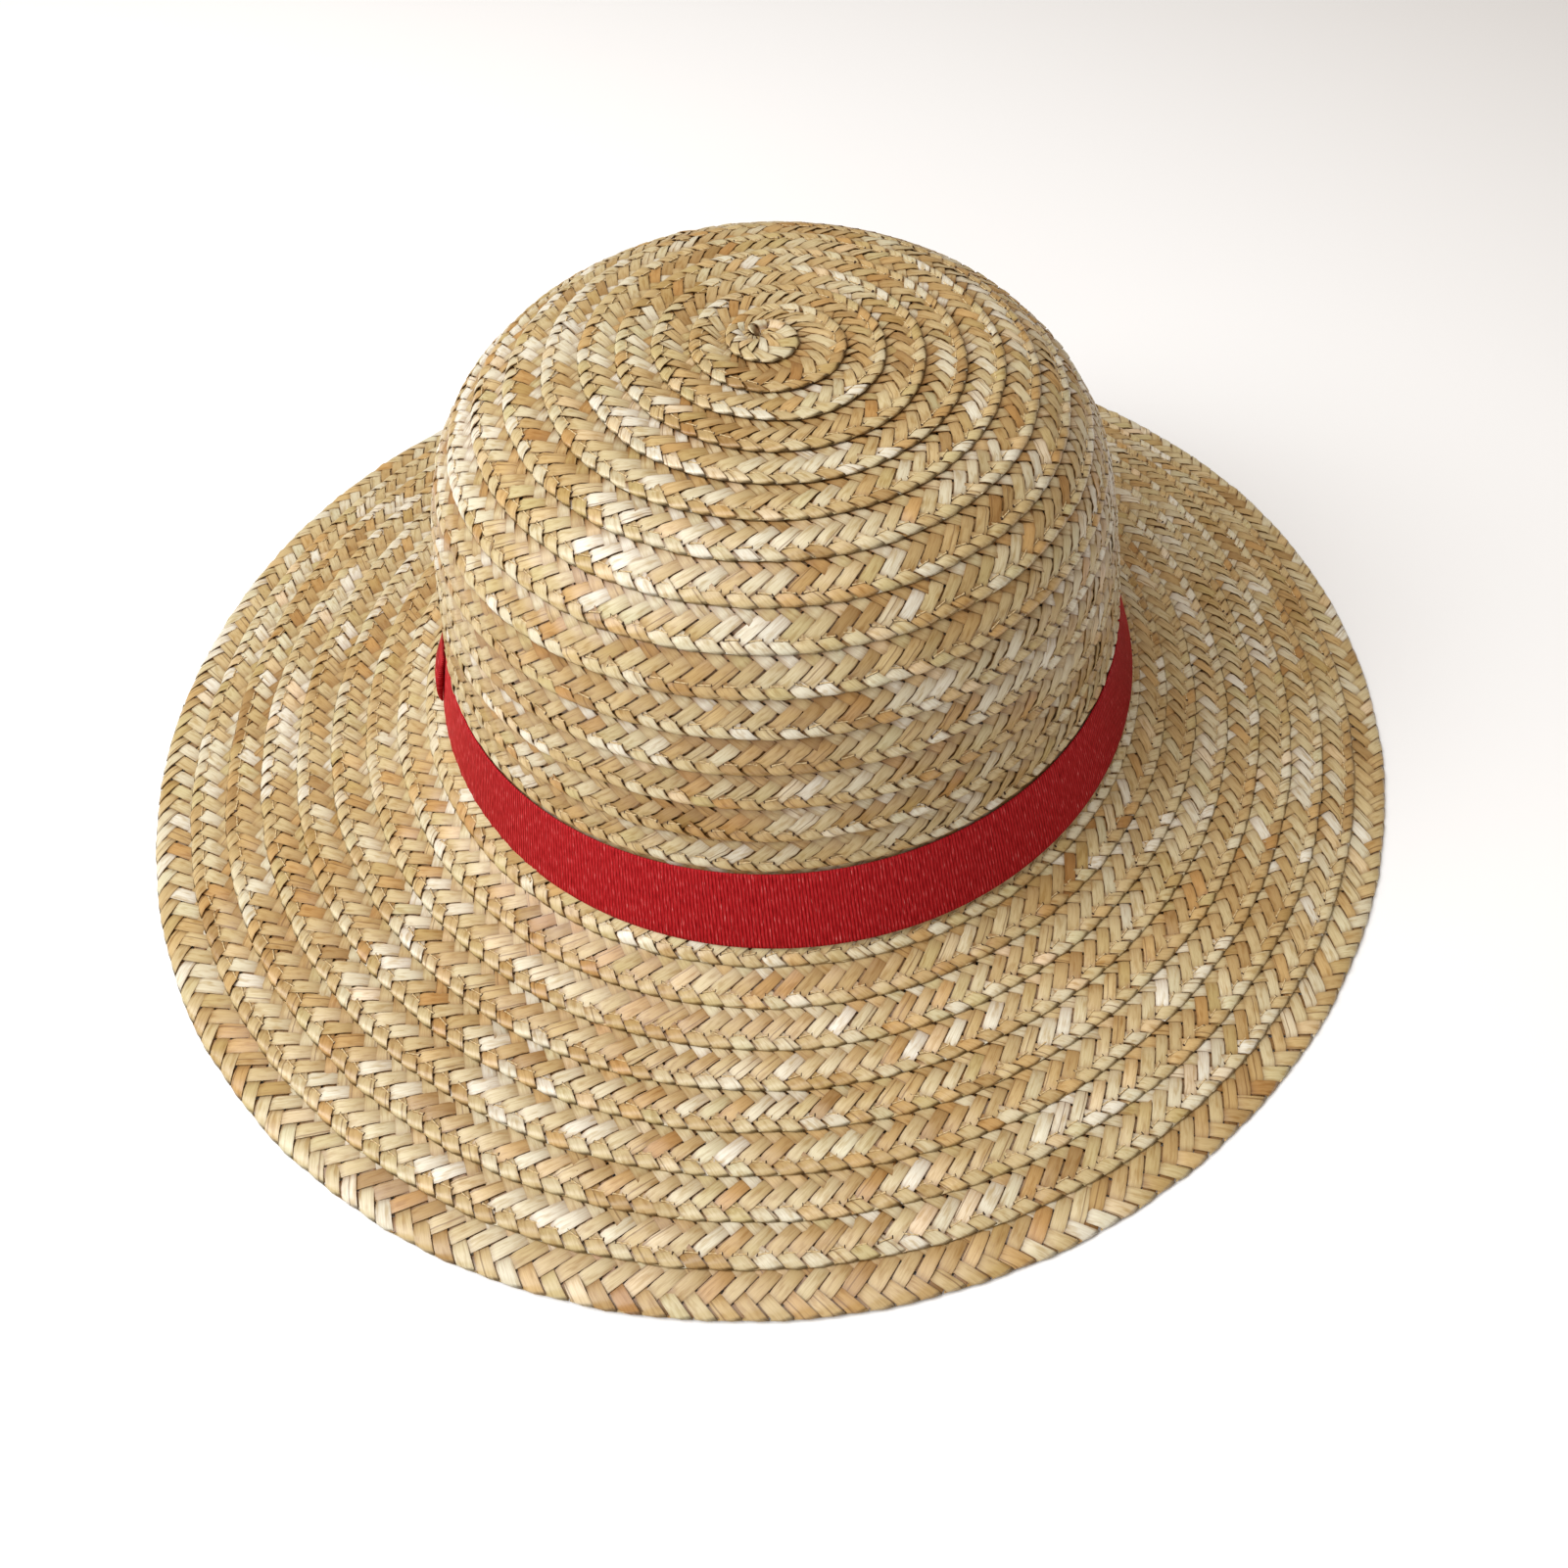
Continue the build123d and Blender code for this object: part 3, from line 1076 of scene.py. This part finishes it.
@dataclass
class Sweatband:
    """Cotton tape sewn inside the foot of the crown, where the hat meets the head.

    Attributes:
        form: the hat's form.
        top: where its free upper edge lies along the form.
        foot: where its sewn lower edge lies.
        inside: distance of its outer face inside the form.
        thick: its thickness.
        stitch: length of one stitch and its gap.
        seam: distance of the stitches from the lower edge.
        thread: diameter of the thread.
        waver: how far the free edge waves, and over which length.
        radius: round radius that turns an angle into a length for the waves.
        columns: cross-sections round the tape.
        stitch_share: how much of each stitch and its gap shows as thread.
        pulled: how deep a stitch's ends are pulled into the tape.
        arch: how far its middle stands out again.
    """

    form: HatForm
    top: float = 136.0
    foot: float = 160.0
    inside: float = 3.9
    thick: float = 0.7
    stitch: float = 3.6
    seam: float = 2.0
    thread: float = 0.34
    waver: tuple[float, float] = (0.35, 21.0)
    radius: float = 90.0
    columns: int = 480
    stitch_share: float = 0.7
    pulled: float = 0.25
    arch: float = 0.42

    def girth(self) -> float:
        """Length round the middle of the tape."""
        azimuth = np.linspace(0, 2 * np.pi, 721)
        middle = np.full_like(azimuth, (self.top + self.foot) / 2)
        loop = self.form.place(middle, azimuth, 0 * azimuth - self.inside)
        return float(np.linalg.norm(np.diff(loop, axis=0), axis=1).sum())

    def place(self, down: np.ndarray, azimuth: np.ndarray, inwards: np.ndarray) -> np.ndarray:
        """Points of the tape, which waves a little at its free upper edge.

        Args:
            down: 0 at the upper edge, 1 at the lower one.
            azimuth: angle round the hat.
            inwards: distance in from the tape's outer face.

        Returns:
            Points in mm.
        """
        along = self.top + (self.foot - self.top) * down
        high, step = self.waver
        waver = high * wander(azimuth * self.radius, step, 51) * (1 - down)
        return self.form.place(along, azimuth, -self.inside - inwards + waver)

    def build_tape(self, finish: "CottonTape") -> bpy.types.Object:
        """Carry the tape's cross-section round the inside of the crown.

        Args:
            finish: the tape's finish.

        Returns:
            The sweatband.
        """
        azimuth = (-np.arange(self.columns) / self.columns * 2 * np.pi)[:, None]
        # Down the outer face with its rounded edges, then back up the inner one.
        down = np.array([0.0, 0.012, 0.12, 0.25, 0.4, 0.55, 0.7, 0.85, 0.988, 1.0])
        inwards = np.array([0.5, 0.1, 0, 0, 0, 0, 0, 0, 0.1, 0.5]) * self.thick
        down = np.concatenate([down, down[-2:0:-1]])
        inwards = np.concatenate([inwards, self.thick - inwards[-2:0:-1]])
        width = self.foot - self.top
        made = MeshParts(
            self.place(down, azimuth, inwards),
            hoop_faces(self.columns, len(down)),
            (-azimuth * self.girth() / 2 / np.pi, down * width),
        )
        piece = made.build("cotton_sweatband", finish.material())
        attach(piece, BODY)
        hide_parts("sweatband")
        self.girth() * MM
        log.info("%s: %.0f x %.0f mm", piece.name, self.girth(), width)
        return piece

    def build_thread(self, finish: "CottonThread") -> bpy.types.Object:
        """Sew the tape's foot down with a row of short arched stitches.

        Args:
            finish: the thread's finish.

        Returns:
            The thread as one piece.
        """
        count = round(self.girth() / self.stitch)
        width = self.foot - self.top
        t = np.linspace(-1, 1, 6)[:, None]
        middle = (np.arange(count) / count * 2 * np.pi)[:, None, None]
        azimuth = middle + t * np.pi / count * self.stitch_share
        arch = self.arch * np.sqrt(np.clip(1 - t**2, 0, 1))
        inwards = self.thick - self.pulled + arch + self.thread / 2 * np.sin(SEAM_ANGLES)
        down = 1 - (self.seam + self.thread / 2 * np.cos(SEAM_ANGLES)) / width
        made = MeshParts(
            self.place(down, azimuth, inwards),
            tube_faces(count, len(t), len(SEAM_ANGLES)),
            (down * width, azimuth * self.radius),
            # Painted shade where the stitch ends go into the tape.
            {"hole": np.abs(t)},
        )
        piece = made.build("sweatband_stitches", finish.material())
        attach(piece, BODY)
        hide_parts("sweatband_thread")
        log.info("%s: %d stitches", piece.name, count)
        return piece


# ---- finishes ---------------------------------------------------------------


@dataclass(frozen=True)
class SplitStraw:
    """Wheat straw, split and flattened, unbleached.

    The eye sees golden tan splints with paler and warmer ones among them, the
    paler runs partly painted highlight, fine lengthwise fibres, a satin gloss, and
    painted shade at the edges and where they go under others.
    """

    rough: float = 0.32
    fibre: float = 0.16  # mm between two fibres; drawn near 0.3 so that they show

    def material(self) -> bpy.types.Material:
        """Make the straw's material."""
        material, tree = new_material("split_wheat_straw_plaited")
        uv = add_node(tree, "ShaderNodeUVMap", uv_map="flat_mm")
        tone, seed, edge, painted_shade = (
            add_node(tree, "ShaderNodeAttribute", output="Fac", attribute_name=name)
            for name in ("tone", "seed", "edge", "painted_shade")
        )
        # From toasted to bleached, by the strand's tone; its pale runs along the
        # plait are partly painted highlight.
        colour = add_node(
            tree, "ShaderNodeValToRGB", {"Fac": tone},
            stops=[(0.0, "#A8895A"), (0.12, "#B99C6A"), (0.34, "#C2AB7D"), (0.58, "#CABA90"),
                   (0.7, "#D0C4A1"), (0.84, "#D6CFB6"), (1.0, "#E2DECF")],
        )
        # Each splint starts its fibres at another place.
        jump = add_node(tree, "ShaderNodeMath", {0: seed, 1: 900.0}, operation="MULTIPLY")
        off = add_node(tree, "ShaderNodeCombineXYZ", {0: jump, 1: jump})
        spot = add_node(tree, "ShaderNodeVectorMath", {0: uv, 1: off}, operation="ADD")
        fibres, patches = (
            add_node(
                tree, "ShaderNodeTexNoise",
                {"Vector": add_node(tree, "ShaderNodeMapping", {"Vector": spot, "Scale": scale}),
                 "Scale": 1.0, **grain},
            )
            for scale, grain in (
                ((1 / (2 * self.fibre), 0.16, 1.0), {"Detail": 3.0, "Roughness": 0.6}),
                ((0.9, 0.22, 1.0), {"Detail": 2.0}),
            )
        )
        # Fibres, weathered patches and each splint's own tint, one over another.
        for factor, by, stops in (
            (0.4, fibres, [(0.28, "#B98F62"), (0.42, "#E6DCCB"), (0.55, "#FFFFFF"),
                           (0.8, "#FFFFFF")]),
            (0.8, patches, [(0.3, "#D9C7A6"), (0.5, "#FFFFFF"), (0.72, "#FFFDF8")]),
            (1.0, seed, [(0.0, "#F4F3E0"), (0.2, "#FFFFFF"), (0.8, "#FFFFFF"),
                         (0.9, "#FFF4E4"), (1.0, "#FFEAD2")]),
        ):
            tint = add_node(tree, "ShaderNodeValToRGB", {"Fac": by}, stops=stops)
            colour = add_node(
                tree, "ShaderNodeMix", {"Factor": factor, 6: colour, 7: tint}, output=2, **TINT
            )
        # Painted shade along the splint's edges, in the gaps between them, and where
        # it dives under another.
        painted_shades = []
        for number, power, share in ((edge, 6.0, 0.35), (painted_shade, 2.0, 0.8)):
            steep = add_node(tree, "ShaderNodeMath", {0: number, 1: power}, operation="POWER")
            painted_shades.append(
                add_node(tree, "ShaderNodeMath", {0: steep, 1: share}, operation="MULTIPLY")
            )
        dark = add_node(
            tree, "ShaderNodeMath", dict(enumerate(painted_shades)), operation="ADD", use_clamp=True
        )
        colour = add_node(
            tree, "ShaderNodeMix", {"Factor": dark, 6: colour, 7: srgb("#7A5228")},
            output=2, **COVER,
        )
        # About a fifth of the splints have cracked lengthwise and show a dark line.
        across = add_node(tree, "ShaderNodeSeparateXYZ", {"Vector": uv})
        where = add_node(
            tree, "ShaderNodeMath", {0: seed, 1: 16.0, 2: -13.6}, operation="MULTIPLY_ADD"
        )
        away = add_node(tree, "ShaderNodeMath", {0: across, 1: where}, operation="SUBTRACT")
        away = add_node(tree, "ShaderNodeMath", {0: away}, operation="ABSOLUTE")
        ragged = add_node(
            tree, "ShaderNodeMath", {0: fibres, 1: -0.3, 2: away}, operation="MULTIPLY_ADD"
        )
        crack = add_node(tree, "ShaderNodeMath", {0: ragged, 1: 0.0}, operation="LESS_THAN")
        crack = add_node(tree, "ShaderNodeMath", {0: crack, 1: 0.6}, operation="MULTIPLY")
        colour = add_node(
            tree, "ShaderNodeMix", {"Factor": crack, 6: colour, 7: srgb("#6E4B28")},
            output=2, **COVER,
        )
        bump = add_node(
            tree, "ShaderNodeBump", {"Strength": 0.5, "Distance": 0.00008, "Height": fibres}
        )
        shader = add_node(
            tree, "ShaderNodeBsdfPrincipled",
            {"Base Color": colour, "Roughness": self.rough, "IOR": 1.5, "Normal": bump,
             "Specular IOR Level": 0.5},
        )
        add_node(tree, "ShaderNodeOutputMaterial", {"Surface": shader})
        return material


@dataclass(frozen=True)
class Grosgrain:
    """Red grosgrain ribbon of fine rayon warp over thick cotton ribs.

    The eye sees a dull surface with close upright ribs, painted shade in the
    lines between them, and paler threads here and there.
    """

    rib: float = 0.82
    rough: float = 0.58

    def material(self) -> bpy.types.Material:
        """Make the ribbon's material."""
        material, tree = new_material("grosgrain_rayon_cotton_red")
        uv = add_node(tree, "ShaderNodeUVMap", uv_map="flat_mm")
        # At scale 1 upright bands come 3.1831 to the mm, and 0.99 draws the ribs
        # one part in a hundred wider than that.
        ribs = add_node(
            tree, "ShaderNodeTexWave",
            {"Vector": uv, "Scale": 1 / self.rib / 3.1831 * 0.99, "Distortion": 0.6,
             "Detail": 1.0},
            output=1, wave_type="BANDS", bands_direction="X", wave_profile="SIN",
        )
        long = add_node(tree, "ShaderNodeMapping", {"Vector": uv, "Scale": (3.0, 0.35, 1.0)})
        threads = add_node(
            tree, "ShaderNodeTexNoise", {"Vector": long, "Scale": 1.0, "Detail": 3.0}
        )
        base = add_node(
            tree, "ShaderNodeValToRGB", {"Fac": threads},
            stops=[(0.26, "#820D14"), (0.44, "#AB1A21"), (0.56, "#B7252B"), (0.66, "#C84347"),
                   (0.76, "#E0918C")],
        )
        # Painted shade in the grooves between the ribs.
        shade = add_node(
            tree, "ShaderNodeValToRGB", {"Fac": ribs}, stops=[(0.0, "#8E5852"), (0.5, "#FFFFFF")]
        )
        colour = add_node(
            tree, "ShaderNodeMix", {"Factor": 0.85, 6: base, 7: shade}, output=2, **TINT
        )
        bump = add_node(
            tree, "ShaderNodeBump", {"Strength": 0.4, "Distance": 0.00005, "Height": threads}
        )
        shader = add_node(
            tree, "ShaderNodeBsdfPrincipled",
            {"Base Color": colour, "Roughness": self.rough, "IOR": 1.5, "Normal": bump,
             "Specular IOR Level": 0.06},
        )
        add_node(tree, "ShaderNodeOutputMaterial", {"Surface": shader})
        return material


@dataclass(frozen=True)
class CottonTape:
    """Twilled cotton tape, unbleached; the eye sees a fine slanting weave."""

    # Sets the scale of the twill lines. They are really 0.5 mm apart and are
    # drawn about 2.5 mm apart, so that they show.
    twill: float = 0.9
    rough: float = 0.85

    def material(self) -> bpy.types.Material:
        """Make the tape's material."""
        material, tree = new_material("cotton_twill_tape_natural")
        uv = add_node(tree, "ShaderNodeUVMap", uv_map="flat_mm")
        # At scale 1 slanting bands stand 0.44 mm apart, so these stand about 2.5.
        lines = add_node(
            tree, "ShaderNodeTexWave",
            {"Vector": uv, "Scale": 1 / self.twill / 6.2, "Distortion": 0.8, "Detail": 2.0},
            output=1, wave_type="BANDS", bands_direction="DIAGONAL", wave_profile="SIN",
        )
        fuzz = add_node(tree, "ShaderNodeTexNoise", {"Vector": uv, "Scale": 3.0, "Detail": 4.0})
        both = add_node(tree, "ShaderNodeMath", {0: lines, 1: fuzz}, operation="MULTIPLY")
        colour = add_node(
            tree, "ShaderNodeValToRGB", {"Fac": both},
            stops=[(0.0, "#C6B497"), (0.35, "#D8CBB1"), (0.8, "#E4DAC6")],
        )
        bump = add_node(
            tree, "ShaderNodeBump", {"Strength": 0.5, "Distance": 0.00012, "Height": both}
        )
        shader = add_node(
            tree, "ShaderNodeBsdfPrincipled",
            {"Base Color": colour, "Roughness": self.rough, "IOR": 1.5, "Normal": bump,
             "Sheen Weight": 0.2},
        )
        add_node(tree, "ShaderNodeOutputMaterial", {"Surface": shader})
        return material


@dataclass(frozen=True)
class CottonThread:
    """Twisted cotton thread; the eye sees straw colour, with painted shade at the needle holes.
    """

    rough: float = 0.7

    def material(self) -> bpy.types.Material:
        """Make the thread's material."""
        material, tree = new_material("cotton_thread_twisted")
        uv = add_node(tree, "ShaderNodeUVMap", uv_map="flat_mm")
        hole = add_node(tree, "ShaderNodeAttribute", output="Fac", attribute_name="hole")
        twist = add_node(
            tree, "ShaderNodeTexWave", {"Vector": uv, "Scale": 0.5, "Distortion": 0.3},
            output=1, wave_type="BANDS", bands_direction="DIAGONAL", wave_profile="SIN",
        )
        body = add_node(
            tree, "ShaderNodeValToRGB", {"Fac": twist}, stops=[(0.0, "#B99C6C"), (0.6, "#D2BC90")]
        )
        # Painted shade of the needle holes at the stitch ends.
        end = add_node(
            tree, "ShaderNodeValToRGB", {"Fac": hole}, stops=[(0.3, "#FFFFFF"), (0.8, "#4A3015")]
        )
        colour = add_node(
            tree, "ShaderNodeMix", {"Factor": 1.0, 6: body, 7: end}, output=2, **TINT
        )
        shader = add_node(
            tree, "ShaderNodeBsdfPrincipled",
            {"Base Color": colour, "Roughness": self.rough, "IOR": 1.5},
        )
        add_node(tree, "ShaderNodeOutputMaterial", {"Surface": shader})
        return material


# ---- the studio -------------------------------------------------------------


@dataclass(frozen=True)
class Lamp:
    """Square soft light.

    Attributes:
        name: what it is for.
        place: where it hangs, in metres.
        size: length of its side, in metres.
        power: its power in watts.
    """

    name: str
    place: tuple[float, float, float]
    size: float
    power: float


@dataclass
class Studio:
    """Pale floor, soft light and the camera.

    Attributes:
        eye: the camera's place, in mm.
        heading: how far it looks to the right of +Y, in degrees.
        down: how far it looks below level.
        roll: how far it leans to the left.
        lens: focal length on a sensor 36 mm wide.
        shift: how far the frame is moved off the lens axis, as shares of its width.
        floor: height of the floor, just below the lowest straw.
        floor_half: half its side.
        lamps: the key light at the upper left, one overhead and a weak fill.
        aim: the point over the table that they face, in metres.
        air: colour of the light from all round.
        air_strength: its strength.
    """

    eye: tuple[float, float, float] = (0.0, -261.3, 280.1)
    heading: float = 8.65
    down: float = 43.73
    roll: float = 2.4
    lens: float = 29.88
    shift: tuple[float, float] = (-0.0927, -0.1235)
    floor: float = -0.45
    floor_half: float = 4000.0
    lamps: tuple[Lamp, ...] = (
        Lamp("key", (-1.15, -0.25, 1.1), 0.9, 19.0),
        Lamp("top", (-0.35, -0.1, 1.5), 1.0, 12.0),
        Lamp("fill", (-0.2, -1.3, 0.9), 0.9, 3.0),
    )
    aim: tuple[float, float, float] = (0.0, 0.0, 0.03)
    air: str = "#FFE8D0"
    air_strength: float = 0.28

    def build_camera(self) -> None:
        """Stand the camera close in front of the hat, above the brim."""
        lens = bpy.data.cameras.new("camera")
        lens.lens, lens.sensor_width = self.lens, 36.0
        lens.shift_x, lens.shift_y = self.shift
        lens.clip_start, lens.clip_end = 0.01, 20.0
        camera = bpy.data.objects.new("camera", lens)
        camera.rotation_mode = "QUATERNION"
        camera.rotation_quaternion = (
            Quaternion((0, 0, 1), -math.radians(self.heading))
            @ Quaternion((1, 0, 0), math.radians(90 - self.down))
            @ Quaternion((0, 0, 1), math.radians(self.roll))
        )
        camera.location = Vector(self.eye) * MM
        bpy.context.scene.collection.objects.link(camera)
        bpy.context.scene.camera = camera

    def build_floor(self) -> None:
        """Lay a wide pale floor under the hat."""
        turns = np.array([[-1, -1], [1, -1], [1, 1], [-1, 1]])
        corners = np.column_stack([turns * self.floor_half, np.full(4, self.floor)])
        material, tree = new_material("matt_paint_white")
        shader = add_node(
            tree, "ShaderNodeBsdfPrincipled", {"Base Color": srgb("#F8FAFC"), "Roughness": 0.9}
        )
        add_node(tree, "ShaderNodeOutputMaterial", {"Surface": shader})
        made = MeshParts(corners, [np.array([[0, 1, 2, 3]])], corners[:, :2].T)
        floor = made.build("floor", material)

    def build_lights(self) -> None:
        """Light the hat softly from the upper left and above, with a weak fill."""
        world = bpy.data.worlds.new("studio")
        world.use_nodes = True
        background = world.node_tree.nodes["Background"].inputs
        background[0].default_value = srgb(self.air)
        background[1].default_value = self.air_strength
        bpy.context.scene.world = world
        for lamp in self.lamps:
            light = bpy.data.lights.new(lamp.name, "AREA")
            light.size, light.energy = lamp.size, lamp.power
            stand = bpy.data.objects.new(lamp.name, light)
            stand.location = lamp.place
            to_hat = Vector(self.aim) - Vector(lamp.place)
            stand.rotation_euler = to_hat.to_track_quat("-Z", "Y").to_euler()
            bpy.context.scene.collection.objects.link(stand)
        bpy.context.scene.view_settings.view_transform = "Standard"


def main() -> None:
    """Build the studio and then the hat, from the plait inwards."""
    logging.basicConfig(level=logging.INFO, format="%(name)s %(message)s")
    studio = Studio()
    studio.build_camera()
    studio.build_floor()
    studio.build_lights()

    form = HatForm()
    plait = StrawPlait(Coil(form))
    thread = CottonThread()
    plait.build(SplitStraw())
    Stitches(plait).build(thread)
    ribbon = Grosgrain()
    band = RibbonBand(form)
    band.build(ribbon)
    RibbonKeeper(band).build(ribbon)
    sweatband = Sweatband(form)
    sweatband.build_tape(CottonTape())
    sweatband.build_thread(thread)


if __name__ == "__main__":
    main()
